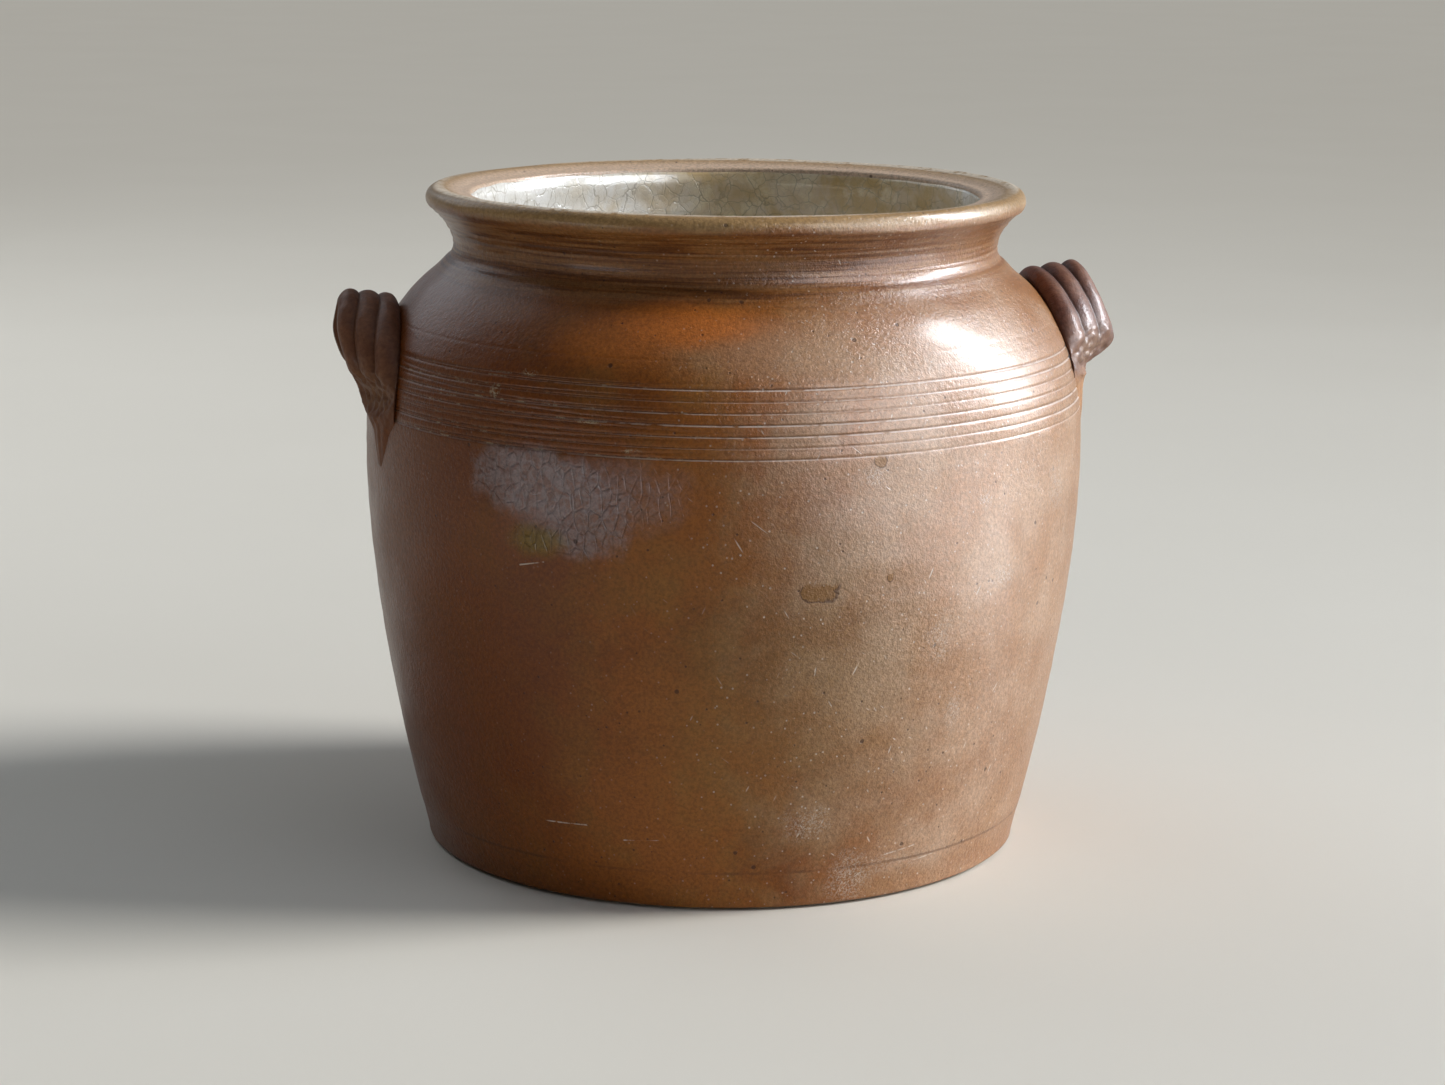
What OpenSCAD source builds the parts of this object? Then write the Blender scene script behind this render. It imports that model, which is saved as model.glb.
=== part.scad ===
// Stoneware butter crock: a wheel-thrown pot with a rolled rim, a band of scored lines,
// a glazed lining and two ribbed ear handles luted to the shoulder.
// Millimetres. +Z is up. The origin is the centre of the foot, on the surface it stands on.
// The handles lie on +X and -X.

/* [Body] */
// Radius of the foot where the pot stands
foot_r = 134; // [125:1:140]
// Greatest outer radius
belly_r = 160.6; // [150:0.1:168]
// Height of the greatest radius
belly_z = 172; // [150:1:185]
// Outer radius of the neck
neck_r = 121.3; // [116:0.1:126]
// Height at which the shoulder meets the neck
neck_z = 264; // [255:1:266]
// Thickness of the wall
wall_t = 9; // [7:0.5:12]
// Thickness of the floor
floor_t = 10; // [8:0.5:14]

/* [Rim] */
// Overall height of the pot
crock_h = 294.2; // [290:0.1:300]
// Outermost radius of the rolled rim
rim_r = 133.2; // [129:0.1:137]
// Radius of the rounding on the rim's outer edge
lip_round_r = 5; // [3:0.1:6]
// Radius of the open mouth, inside the glaze
mouth_r = 112.3; // [108:0.1:114]
// How far the rim's inner edge lies below its crest
dish_d = 2.8; // [0:0.1:5]

/* [Scored band] */
// Height of the lowest scored line
groove_z = 199.6; // [190:0.1:205]
// Number of scored lines
groove_n = 7; // [1:1:9]
// Distance between scored lines
groove_pitch = 4.6; // [3:0.1:6]
// Depth of a scored line
groove_d = 0.7; // [0.2:0.1:1]
// Width of a scored line
groove_w = 1.5; // [0.8:0.1:2.5]

/* [Lining] */
// Thickness of the white glaze lining
glaze_t = 0.8; // [0.4:0.1:1.5]

/* [Handles] */
// Height of the left handle's crown
left_crown_z = 241.5; // [234:0.5:252]
// Height of the right handle's crown
right_crown_z = 250; // [234:0.5:256]
// Height of the left handle's crown above its pressed feet
left_rise = 46; // [34:1:50]
// Height of the right handle's crown above its pressed feet
right_rise = 39; // [34:1:50]
// Part of the left handle's rise over which its outer edge comes in to the wall, on its front leg
left_taper = 0.85; // [0.3:0.05:1]
// The same on the left handle's back leg
left_back_taper = 0.75; // [0.3:0.05:1]
// The same on both legs of the right handle
right_taper = 0.4; // [0.3:0.05:1]
// How far the left strap's outer edge leans out below its crown, in degrees
left_lean = 7; // [0:1:18]
// How far the right strap's outer edge leans out below its crown, in degrees
right_lean = 17; // [0:1:18]
// Width of the strap at the crown
strap_w = 27; // [20:0.5:32]
// Thickness of the strap, without its ribs
strap_t = 6.5; // [5:0.5:9]
// Height of the ribs on the strap
rib_h = 1.6; // [0:0.1:3]
// Number of ribs
rib_n = 3; // [1:1:4]
// Half the distance between the strap's inner edges at the feet
inner_span = 54; // [40:1:58]
// Half the distance between the strap's outer edges at the feet
outer_span = 19; // [12:1:30]
// Gap between the strap's inner edge and the shoulder at the crown
crown_gap = 0.5; // [0:0.5:6]
// Upward tilt of the left strap from its inner to its outer edge, in degrees
left_tilt = 8; // [0:1:14]
// Upward tilt of the right strap from its inner to its outer edge, in degrees
right_tilt = 11; // [0:1:14]
// Length of the tail smeared down the wall below each foot
tail_l = 28; // [15:1:35]

/* [Hidden] */
$fn = 96;

clay = [0.60, 0.34, 0.18];
dark_clay = [0.36, 0.19, 0.12];
white_glaze = [0.88, 0.84, 0.74];

foot_bevel = 1.5;
floor_round = 16;
lower_power = 1.6;
shoulder_power = 3.3;
neck_power = 2.2;
neck_stop = 0.92;
under_lip = 40;
throat_r = mouth_r + glaze_t;
throat_z = crock_h - dish_d - 1.5;
lip_z = crock_h - lip_round_r;
groove_top = groove_z + (groove_n - 1) * groove_pitch;
inner_belly_r = belly_r - wall_t;
throat_low_z = neck_z + 2;

// Outer radius of the thrown wall at height z, without scored lines.
function wall_r(z) =
    z < belly_z
    ? belly_r - (belly_r - foot_r) * pow((belly_z - z) / belly_z, lower_power)
    : belly_r - (belly_r - neck_r) * pow(min(1, (z - belly_z) / (neck_z - belly_z)), shoulder_power);

// Inner radius of the clay at height z.
function inside_r(z) =
    z < belly_z
    ? wall_r(z) - wall_t
    : inner_belly_r
      - (inner_belly_r - throat_r) * pow(min(1, (z - belly_z) / (throat_low_z - belly_z)), shoulder_power);

// Heights from low to high, both included, in n equal steps.
function steps(low, high, n) = [for (i = [0:n]) low + (high - low) * i / n];

// The outside of the pot, from the foot up to the crest of the rim, with scored lines this deep.
function outside_points(depth) = concat(
    [[foot_r - foot_bevel, 0]],
    [for (z = steps(foot_bevel, groove_z - groove_pitch / 2, 18)) [wall_r(z), z]],
    [for (i = [0:groove_n - 1], side = [-1, 0, 1])
        let (z = groove_z + i * groove_pitch + side * groove_w / 2)
        [wall_r(z) - (side == 0 ? depth : 0), z]],
    [for (z = steps(groove_top + groove_pitch / 2, neck_z - 1, 14)) [wall_r(z), z]],
    neck_points(),
    [for (a = steps(-under_lip, 90, 9))
        [rim_r - lip_round_r + lip_round_r * cos(a), lip_z + lip_round_r * sin(a)]]
);

// The hollow neck that flares out to the underside of the rim.
function neck_points() =
    let (low = neck_z + 3,
         high = lip_z - lip_round_r * sin(under_lip),
         flare_r = rim_r - lip_round_r + lip_round_r * cos(under_lip))
    [for (s = steps(0, neck_stop, 9))
        [neck_r + (flare_r - neck_r) * pow(s, neck_power), low + (high - low) * s]];

// The inside of the clay, from the top of the throat down to the centre of the floor.
function inside_points(t) = concat(
    [[throat_r - t, throat_z], [throat_r - t, throat_low_z]],
    [for (z = steps(throat_low_z - 3, belly_z, 14)) [inside_r(z) - t, z]],
    [for (z = steps(belly_z - 12, floor_t + floor_round, 10)) [inside_r(z) - t, z]],
    [for (a = steps(10, 90, 6))
        [inside_r(floor_t + floor_round) - floor_round + (floor_round - t) * cos(a),
         floor_t + floor_round - (floor_round - t) * sin(a)]],
    [[0, floor_t + t]]
);

module crock_body() {
    color(clay)
    rotate_extrude()
    polygon(concat(
        [[0, 0]],
        outside_points(groove_d),
        [[throat_r + 1.5, crock_h - dish_d]],
        inside_points(0)
    ));
}

module interior_glaze() {
    inner = inside_points(glaze_t);
    outer = inside_points(0);
    color(white_glaze)
    rotate_extrude()
    polygon(concat(inner, [for (i = [len(outer) - 1:-1:0]) outer[i]]));
}

// The whole outline of the pot before it is scored, filled, for trimming a handle to the wall.
module wall_solid() {
    rotate_extrude()
    polygon(concat([[0, 0]], outside_points(0), [[0, crock_h]]));
}

// ---- Handles: a strap swept along two curves, its inner and its outer edge ----
// A shape is [crown height, rise, front taper, back taper, lean, tilt].

left_shape = [left_crown_z, left_rise, left_back_taper, left_taper, left_lean, left_tilt];
right_shape = [right_crown_z, right_rise, right_taper, right_taper, right_lean, right_tilt];

arch_n = 36;
tail_n = 8;
face_n = 24;
end_angle = 4;
arch_power = 0.75;
taper_start = 0.08;
foot_stand = 3;
bury = 1.5;
tail_settle = 0.35;
tail_narrowing = 0.6;
tail_face = 1.6;
back_inset = 0.4;
press_depth = 0.5;
rib_fade = 1.2;

function smooth(s) = s * s * (3 - 2 * s);

function clamp(s) = max(0, min(1, s));

function wall_x(y, z) = sqrt(pow(wall_r(z), 2) - y * y);

// The strap's inner edge at arch angle a (0 to 180 degrees). It follows the wall from foot to foot.
function inner_edge(a, shape) =
    let (y = -inner_span * cos(a),
         z = shape[0] - shape[1] * (1 - pow(sin(a), arch_power)))
    [wall_x(y, z) + crown_gap, y, z];

// Its outer edge. It stands out by the strap's width, and comes in to the wall at each foot.
function outer_edge(a, shape) =
    let (k = pow(sin(a), arch_power),
         foot_z = shape[0] - shape[1] - foot_stand,
         crown_z = shape[0] + strap_w * sin(shape[5]),
         crown_x = inner_edge(90, shape)[0] + strap_w * cos(shape[5]),
         taper = a < 90 ? shape[2] : shape[3],
         y = -outer_span * cos(a),
         z = foot_z + (crown_z - foot_z) * k,
         reach = smooth(clamp((k - taper_start) / (taper - taper_start))))
    [(wall_x(y, z) + foot_stand) * (1 - reach) + (crown_x + (crown_z - z) * tan(shape[4])) * reach, y, z];

// The same edge along a tail: s is 0 at the foot and 1 at the lower tip. It settles into the wall.
function tail_edge(edge, s) =
    let (mid = sign(edge[1]) * (inner_span + outer_span) / 2,
         y = mid + (edge[1] - mid) * (1 - tail_narrowing * smooth(s)),
         z = edge[2] - tail_l * s,
         stand = edge[0] - wall_x(edge[1], edge[2]),
         settled = smooth(clamp(s / tail_settle)))
    [wall_x(y, z) + stand * (1 - settled) - bury * settled, y, z];

// A station is [inner edge, outer edge, height of the face, depth of the back, height of the ribs].
function arch_station(a, shape) =
    let (press = min(1, press_depth + sin(a)))
    [inner_edge(a, shape), outer_edge(a, shape), press, press, smooth(min(1, rib_fade * sin(a)))];

function tail_station(a, s, shape) =
    let (settled = smooth(clamp(s / tail_settle)),
         start = press_depth + sin(a))
    [tail_edge(inner_edge(a, shape), s), tail_edge(outer_edge(a, shape), s),
     start * (1 - settled) + (tail_face - s) * settled, press_depth, 0];

function stations(shape) = concat(
    [for (i = [tail_n:-1:1]) tail_station(end_angle, i / tail_n, shape)],
    [for (a = steps(end_angle, 180 - end_angle, arch_n)) arch_station(a, shape)],
    [for (i = [1:tail_n]) tail_station(180 - end_angle, i / tail_n, shape)]
);

// How full the section is at q, from 0 at its inner edge to 1 at its outer edge. A high power is square.
function fullness(q, power) = 1 - pow(abs(2 * q - 1), power);

// One closed ring of points round the strap at station i.
function ring(st, i) =
    let (here = st[i],
         before = st[max(0, i - 1)],
         after = st[min(len(st) - 1, i + 1)],
         across = here[1] - here[0],
         along = (after[0] + after[1] - before[0] - before[1]) / 2,
         up = cross(across, along) / norm(cross(across, along)),
         power = 2 + 4 * here[4])
    concat(
        [for (q = steps(0, 1, face_n))
            here[0] + across * q
            + up * (here[2] * fullness(q, power) * strap_t / 2
                    + here[4] * rib_h * pow(sin(180 * rib_n * q), 2))],
        [for (j = [face_n / 2:-1:0])
            let (q = (j + 0.5) / (face_n / 2 + 1))
            here[0] + across * q - up * here[3] * (back_inset + fullness(q, power) * strap_t / 2)]
    );

module strap(shape) {
    st = stations(shape);
    rings = [for (i = [0:len(st) - 1]) ring(st, i)];
    m = len(rings[0]);
    last = (len(rings) - 1) * m;
    sides = [for (i = [0:len(rings) - 2], j = [0:m - 1])
        let (a = i * m + j, b = i * m + (j + 1) % m)
        each [[a, b + m, b], [a, a + m, b + m]]];
    caps = [[for (j = [0:m - 1]) j], [for (j = [m - 1:-1:0]) last + j]];
    polyhedron([for (r = rings, p = r) p], concat(sides, caps));
}

module handle(shape) {
    color(dark_clay)
    difference() {
        strap(shape);
        wall_solid();
    }
}

module left_handle() {
    rotate([0, 0, 180])
    handle(left_shape);
}

module right_handle() {
    handle(right_shape);
}

crock_body();
interior_glaze();
left_handle();
right_handle();
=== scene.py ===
"""Looks for the stoneware butter crock: a salt-glazed pot with a scored band, a crackled white
lining and two ribbed ear handles, on a plain pale floor. Shapes are worked out in millimetres
and scaled to metres as each mesh is made. Azimuths are degrees about +Z, counted from +X."""

import math

import bpy
import numpy as np
from mathutils import Matrix, Vector


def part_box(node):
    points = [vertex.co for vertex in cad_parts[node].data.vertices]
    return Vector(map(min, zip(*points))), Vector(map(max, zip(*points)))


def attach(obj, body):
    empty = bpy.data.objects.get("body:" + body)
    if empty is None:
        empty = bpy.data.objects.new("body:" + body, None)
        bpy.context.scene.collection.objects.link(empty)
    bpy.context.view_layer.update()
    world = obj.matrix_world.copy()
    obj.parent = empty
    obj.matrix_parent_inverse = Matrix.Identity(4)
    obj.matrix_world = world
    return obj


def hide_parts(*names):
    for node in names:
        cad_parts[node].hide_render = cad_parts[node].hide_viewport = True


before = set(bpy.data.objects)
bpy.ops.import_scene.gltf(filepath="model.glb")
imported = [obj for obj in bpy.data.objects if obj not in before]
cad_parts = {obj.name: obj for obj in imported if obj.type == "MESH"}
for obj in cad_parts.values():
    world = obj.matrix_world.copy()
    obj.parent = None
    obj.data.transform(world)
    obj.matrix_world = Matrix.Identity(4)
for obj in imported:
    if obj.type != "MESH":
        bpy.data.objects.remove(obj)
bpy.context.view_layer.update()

MM = 0.001

# ---- Driving sizes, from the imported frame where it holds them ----

pot_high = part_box("crock_body")[1]
BELLY_R = pot_high.x / MM
CROCK_H = pot_high.z / MM
FOOT_R = 134.0
BELLY_Z = 172.0
NECK_R = 121.3
NECK_Z = 264.0
WALL_T = 9.0
FLOOR_T = 10.0
RIM_R = 133.2
LIP_ROUND_R = 5.0
MOUTH_R = 112.3
DISH_D = 2.8
GLAZE_T = 0.8
# How far down the glaze thickens from its ragged edge, and how far it is sunk into the clay.
GLAZE_EDGE = 3.5
GLAZE_SUNK = 0.4
THROAT_R = MOUTH_R + GLAZE_T
THROAT_LOW_Z = NECK_Z + 2
THROAT_Z = CROCK_H - DISH_D - 1.5
FLOOR_ROUND = 16.0
LOWER_POWER = 1.6
SHOULDER_POWER = 3.3
GROOVE_Z = 199.6
GROOVE_N = 7
GROOVE_PITCH = 4.6
GROOVE_D = 0.55
FRONT_AZ = -98.5
# The neck's hollow: how sharply it flares, and how far under the lip it runs.
NECK_POWER = 2.2
UNDER_LIP = math.radians(40)
# The scored band: the mesh's rings in one pitch, and in the whole band.
RINGS_A_PITCH = 12
BAND_RINGS = 112
# The foot's faint line, and the paint in it, which sits a touch higher.
FOOT_LINE_Z = 17.5
FOOT_PAINT_Z = 17.6
COLUMNS = 320


def smooth(s):
    s = np.clip(s, 0, 1)
    return s * s * (3 - 2 * s)


def bell(x, width):
    return np.exp(-(x / width) ** 2)


def wall_r(z):
    """Outer radius of the thrown wall at height z, as in the CAD model."""
    z = np.asarray(z, float)
    below = BELLY_R - (BELLY_R - FOOT_R) * np.clip((BELLY_Z - z) / BELLY_Z, 0, 1) ** LOWER_POWER
    above = np.clip((z - BELLY_Z) / (NECK_Z - BELLY_Z), 0, 1) ** SHOULDER_POWER
    return np.where(z < BELLY_Z, below, BELLY_R - (BELLY_R - NECK_R) * above)


def inside_r(z):
    """Inner radius of the clay at height z, as in the CAD model."""
    z = np.asarray(z, float)
    inner = BELLY_R - WALL_T
    above = np.clip((z - BELLY_Z) / (THROAT_LOW_Z - BELLY_Z), 0, 1) ** SHOULDER_POWER
    return np.where(z < BELLY_Z, wall_r(z) - WALL_T, inner - (inner - THROAT_R) * above)


def ripple(turn, z, count, max_turns, z_wave, seed):
    """Smooth seeded unevenness round the pot, about -1 to 1. It closes on itself round the turn."""
    draw = np.random.default_rng(seed)
    total = 0
    for _ in range(count):
        n = draw.integers(0, max_turns + 1)
        k = draw.uniform(0.3, 1) * 2 * math.pi / z_wave * draw.choice([-1, 1])
        total = total + np.sin(n * turn + k * z + draw.uniform(0, 2 * math.pi))
    return total / math.sqrt(count)


def near_azimuth(turn, azimuth, width):
    """1 at this azimuth, fading to 0 over width degrees on each side."""
    off = (np.degrees(turn) - azimuth + 180) % 360 - 180
    return smooth(1 - np.abs(off) / width)


# ---- Meshes ----


def closed_piece(name, rings, attributes=None):
    """A closed mesh through rings of points (rows, columns, xyz) in mm, with a fan at each end."""
    rows, columns, _ = rings.shape
    points = np.concatenate([rings.reshape(-1, 3), rings[[0, -1]].mean(axis=1)])
    row = np.arange(rows - 1)[:, None] * columns
    here = np.arange(columns)[None, :]
    after = (here + 1) % columns
    quads = np.stack([row + here, row + after, row + columns + after, row + columns + here], -1)
    quads = quads.reshape(-1, 4)
    last = (rows - 1) * columns
    first_fan = np.stack([after[0], here[0], np.full(columns, rows * columns)], -1)
    last_fan = np.stack([last + here[0], last + after[0], np.full(columns, rows * columns + 1)], -1)
    fans = np.concatenate([first_fan, last_fan])
    a, b, c, d = (points[quads[:, i]] for i in range(4))
    volume = np.einsum("ij,ij->i", a, np.cross(b, c) + np.cross(c, d)).sum()
    if volume < 0:
        quads, fans = quads[:, ::-1], fans[:, ::-1]
    mesh = bpy.data.meshes.new(name)
    mesh.from_pydata((points * MM).tolist(), [], quads.tolist() + fans.tolist())
    mesh.shade_smooth()
    for key, values in (attributes or {}).items():
        layer = mesh.attributes.new(key, "FLOAT", "POINT")
        padded = np.concatenate([values.reshape(-1), values[0, :1], values[-1, :1]])
        layer.data.foreach_set("value", padded.astype(np.float32))
    piece = bpy.data.objects.new(name, mesh)
    bpy.context.scene.collection.objects.link(piece)
    return piece


def turned(radii, heights, turn):
    """Points at these radii and heights round the axis, as (rows, columns, xyz)."""
    x = radii * np.cos(turn)
    y = radii * np.sin(turn)
    return np.stack([x, y, heights + 0 * x], -1)


TURN = np.linspace(0, 2 * math.pi, COLUMNS, endpoint=False)[None, :]


def score_depth(turn, z):
    """Depth of the scored lines at height z: seven main lines, a second pass on the left side
    that drifts between them, and two faint lines above. Also how far z is on a line's sill, the
    lower flank that faces up."""
    depth = 0
    sill = 0
    second = near_azimuth(turn, -140, 75)
    for i in range(GROOVE_N):
        line_z = GROOVE_Z + i * GROOVE_PITCH
        strength = 0.85 + 0.25 * np.sin(2 * turn + 1.7 * i)
        depth = depth + GROOVE_D * strength * bell(z - line_z, 0.42)
        sill = sill + strength * bell(z - line_z + 0.4, 0.36)
        drift = 1.9 + 0.9 * np.sin(3 * turn + i) + 0.4 * np.sin(7 * turn + 2 * i)
        depth = depth + 0.4 * second * bell(z - line_z - drift, 0.38)
        sill = sill + 0.7 * second * bell(z - line_z - drift + 0.4, 0.34)
    faint = 0.5 + 0.5 * np.sin(turn + 0.6)
    depth = depth + 0.2 * faint * bell(z - GROOVE_Z - 34.0, 0.5)
    depth = depth + 0.14 * (1 - faint) * bell(z - GROOVE_Z - 38.2, 0.5)
    return depth, sill


def outside_relief(turn, z, depth):
    """What throwing, scoring and handling add to the wall's radius, in mm."""
    relief = 0.35 * ripple(turn, z, 8, 3, 260, 11)
    relief = relief + 0.07 * ripple(turn, z, 10, 1, 9, 12) * smooth((z - 20) / 20)
    relief = relief + 0.1 * ripple(turn, z, 14, 14, 50, 13)
    relief = relief - 0.4 * smooth((18 - z) / 5) * smooth(z / 4)
    relief = relief - 0.25 * bell(z - FOOT_LINE_Z, 0.9)
    relief = relief + 0.9 * bell(z - 262.5, 2.4) - 0.5 * bell(z - 256.5, 2.6)
    neck = smooth((z - 263) / 3) * smooth((288 - z) / 3)
    relief = relief + 0.13 * neck * ripple(turn, z, 9, 1, 1.9, 14)
    return relief - depth


def neck_curve(s):
    """The hollow neck at s, from 0 at its foot to 1 at the rim, as (radius, height)."""
    low = NECK_Z + 3
    high = CROCK_H - LIP_ROUND_R - LIP_ROUND_R * math.sin(UNDER_LIP)
    flare_r = RIM_R - LIP_ROUND_R + LIP_ROUND_R * math.cos(UNDER_LIP)
    return NECK_R + (flare_r - NECK_R) * s**NECK_POWER, low + (high - low) * s


def make_body():
    """The clay pot as one closed skin, from the middle of its underside round to its floor."""
    waver = 0.5 * np.sin(TURN + 0.5) + 0.35 * np.sin(2 * TURN + 2.1) + 0.15 * np.sin(5 * TURN)
    rings = []
    scores = []
    sills = []

    def add(radii, heights, score=0, sill=0):
        radii = np.asarray(radii, float)
        heights = np.asarray(heights, float)
        ring = turned(radii + 0 * TURN, heights, TURN)
        rings.append(ring)
        scores.append(score + 0 * ring[..., 0])
        sills.append(sill + 0 * ring[..., 0])

    under = np.linspace(4, FOOT_R - 12, 8)[:, None]
    add(under, 1.0 - smooth((under - 95) / 22) + 0.12 * ripple(TURN, under, 8, 5, 60, 15))
    edge = np.linspace(0, 1, 5)[:, None]
    add(FOOT_R - 8 + 7.2 * np.sqrt(edge), 1.1 * edge**2.5)
    band_low = GROOVE_Z - GROOVE_PITCH / 2
    band_high = band_low + BAND_RINGS * GROOVE_PITCH / RINGS_A_PITCH
    wall_z = np.concatenate([
        np.linspace(1.6, 26, 20, endpoint=False),
        np.linspace(26, band_low, 44, endpoint=False),
        band_low + np.arange(BAND_RINGS) * GROOVE_PITCH / RINGS_A_PITCH,
        np.linspace(band_high, 256, 8, endpoint=False),
        np.linspace(256, NECK_Z - 0.5, 12),
    ])[:, None]
    in_band = smooth((wall_z - 185) / 10) * smooth((250 - wall_z) / 10)
    depth, sill = score_depth(TURN, wall_z)
    shifted = wall_z + waver * in_band
    add(wall_r(shifted) + outside_relief(TURN, wall_z, depth), shifted, depth, sill)
    neck_r, neck_z = neck_curve(np.linspace(0, 0.97, 34)[:, None])
    add(neck_r + outside_relief(TURN, neck_z, 0), neck_z)
    lift = 0.3 * ripple(TURN, 0, 5, 3, 100, 16)
    lip = np.radians(np.linspace(-38, 90, 17))[:, None]
    lip_r = LIP_ROUND_R * (1 + 0.05 * ripple(TURN, lip * 20, 8, 9, 60, 17))
    lip_z = CROCK_H - LIP_ROUND_R
    add(RIM_R - LIP_ROUND_R + lip_r * np.cos(lip), lip_z + lip_r * np.sin(lip) + lift)
    across = np.linspace(0, 1, 10)[1:, None]
    crest_r = RIM_R - LIP_ROUND_R
    dish = smooth(across) * DISH_D + 0.06 * ripple(TURN, across * 14, 8, 2, 4, 18)
    add(crest_r + (THROAT_R + 1.6 - crest_r) * across, CROCK_H - dish + lift)
    turn_in = np.radians(np.linspace(20, 90, 5))[:, None]
    add(THROAT_R + 1.6 * (1 - np.sin(turn_in)), THROAT_Z + 1.4 * np.cos(turn_in) + lift * np.cos(turn_in))
    inside_z = np.linspace(THROAT_Z - 3, FLOOR_T + FLOOR_ROUND, 26)[:, None]
    add(inside_r(inside_z) + 0.3 * smooth((THROAT_Z - 8 - inside_z) / 10), inside_z)
    corner = np.radians(np.linspace(10, 90, 6))[:, None]
    corner_r = inside_r(FLOOR_T + FLOOR_ROUND) - FLOOR_ROUND
    add(corner_r + FLOOR_ROUND * np.cos(corner), FLOOR_T + FLOOR_ROUND * (1 - np.sin(corner)))
    add(np.linspace(corner_r - 20, 5, 5)[:, None], FLOOR_T)
    marks = {"score": np.concatenate(scores), "sill": np.concatenate(sills)}
    return closed_piece("glazed_body", np.concatenate(rings), marks)


def make_lining():
    """The white glaze as a thin closed shell, thinning to a ragged edge at the mouth."""
    ragged = 0.5 * ripple(TURN, 0, 10, 30, 100, 21) + 0.4 * ripple(TURN, 0, 6, 6, 100, 22)
    edge_z = THROAT_Z - 0.8 + 0.6 * ragged
    down = np.linspace(0, 1, 70)[:, None] ** 1.25
    z = edge_z + (FLOOR_T + FLOOR_ROUND - edge_z) * down
    thick = GLAZE_T * smooth((edge_z - z) / GLAZE_EDGE)
    rings_in = 0.2 * ripple(TURN, z, 8, 1, 11, 23) * smooth((edge_z - z) / 10)
    corner = np.radians(np.linspace(0, 90, 9))[1:, None]
    corner_r = inside_r(FLOOR_T + FLOOR_ROUND) - FLOOR_ROUND
    floor = np.linspace(1, 0.03, 26)[1:, None]
    spiral = 0.25 * np.sin(floor * corner_r / 9 * 2 * math.pi + TURN)
    inner = np.concatenate([
        turned(inside_r(z) - thick - rings_in, z, TURN),
        turned(corner_r + (FLOOR_ROUND - GLAZE_T) * np.cos(corner) + 0 * TURN,
               FLOOR_T + FLOOR_ROUND - (FLOOR_ROUND - GLAZE_T) * np.sin(corner), TURN),
        turned(corner_r * floor + 0 * TURN, FLOOR_T + GLAZE_T + spiral, TURN),
    ])
    outer = np.concatenate([
        turned(inside_r(z) + GLAZE_SUNK * smooth((edge_z - z) / GLAZE_EDGE) + 0.02, z, TURN),
        turned(corner_r + (FLOOR_ROUND + GLAZE_SUNK) * np.cos(corner) + 0 * TURN,
               FLOOR_T + FLOOR_ROUND - (FLOOR_ROUND + GLAZE_SUNK) * np.sin(corner), TURN),
        turned(corner_r * floor + 0 * TURN, FLOOR_T - GLAZE_SUNK + 0 * TURN, TURN),
    ])
    return closed_piece("crackled_lining", np.concatenate([inner[::-1], outer]))


# ---- Handles: the CAD strap's two edges, with finer ribs, thumb presses and smeared tails ----

STRAP_W = 27.0
STRAP_T = 6.5
INNER_SPAN = 54.0
OUTER_SPAN = 19.0
CROWN_GAP = 0.5
TAIL_L = 28.0
FOOT_STAND = 3.0
BURY = 1.5
END_ANGLE = math.radians(4)
ARCH_POWER = 0.75
TAPER_START = 0.08
TAIL_SETTLE = 0.35
TAIL_NARROWING = 0.6
PRESS_DEPTH = 0.5
RIB_N = 3
# Looks only. The ribs start this far up from each foot and fill out over the next stretch, the
# press is centred this far up, and the tail's face starts this high and loses this much.
RIB_START = 9.0
RIB_GROWTH = 9.0
PRESS_UP = 8.0
TAIL_FACE = 1.6
TAIL_THINNING = 1.3
BACK_INSET = 0.4
FACE_COLUMNS = 73
BACK_COLUMNS = 31

# Each ear handle as in the CAD model. first and second are its legs before and after the crown,
# going anticlockwise seen from above.
LEFT_SHAPE = {"crown": 241.5, "rise": 46, "first": 0.75, "second": 0.85, "lean": 7, "tilt": 8}
RIGHT_SHAPE = {"crown": 250.0, "rise": 39, "first": 0.4, "second": 0.4, "lean": 17, "tilt": 11}


def wall_x(y, z):
    """How far out the wall is at y and height z, on the +X side."""
    return np.sqrt(wall_r(z) ** 2 - y**2)


def inner_edge(a, shape):
    """The strap's inner edge at arch angle a, along the wall from foot to foot."""
    y = -INNER_SPAN * np.cos(a)
    z = shape["crown"] - shape["rise"] * (1 - np.sin(a) ** ARCH_POWER)
    return np.stack([wall_x(y, z) + CROWN_GAP, y, z], -1)


def outer_edge(a, shape):
    """The strap's outer edge, which comes in to the wall at each foot."""
    k = np.sin(a) ** ARCH_POWER
    tilt = math.radians(shape["tilt"])
    foot_z = shape["crown"] - shape["rise"] - FOOT_STAND
    crown_z = shape["crown"] + STRAP_W * math.sin(tilt)
    crown_x = inner_edge(np.array(math.pi / 2), shape)[0] + STRAP_W * math.cos(tilt)
    taper = np.where(a < math.pi / 2, shape["first"], shape["second"])
    y = -OUTER_SPAN * np.cos(a)
    z = foot_z + (crown_z - foot_z) * k
    reach = smooth((k - TAPER_START) / (taper - TAPER_START))
    out_x = crown_x + (crown_z - z) * math.tan(math.radians(shape["lean"]))
    return np.stack([(wall_x(y, z) + FOOT_STAND) * (1 - reach) + out_x * reach, y, z], -1)


def tail_edge(edge, s):
    """The same edge down a tail, at s from 0 at the foot to 1 at its tip, settling into the wall."""
    middle = np.sign(edge[1]) * (INNER_SPAN + OUTER_SPAN) / 2
    y = middle + (edge[1] - middle) * (1 - TAIL_NARROWING * smooth(s))
    z = edge[2] - TAIL_L * s
    stand = edge[0] - wall_x(edge[1], edge[2])
    settled = smooth(s / TAIL_SETTLE)
    return np.stack([wall_x(y, z) + stand * (1 - settled) - BURY * settled, y, z], -1)


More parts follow.
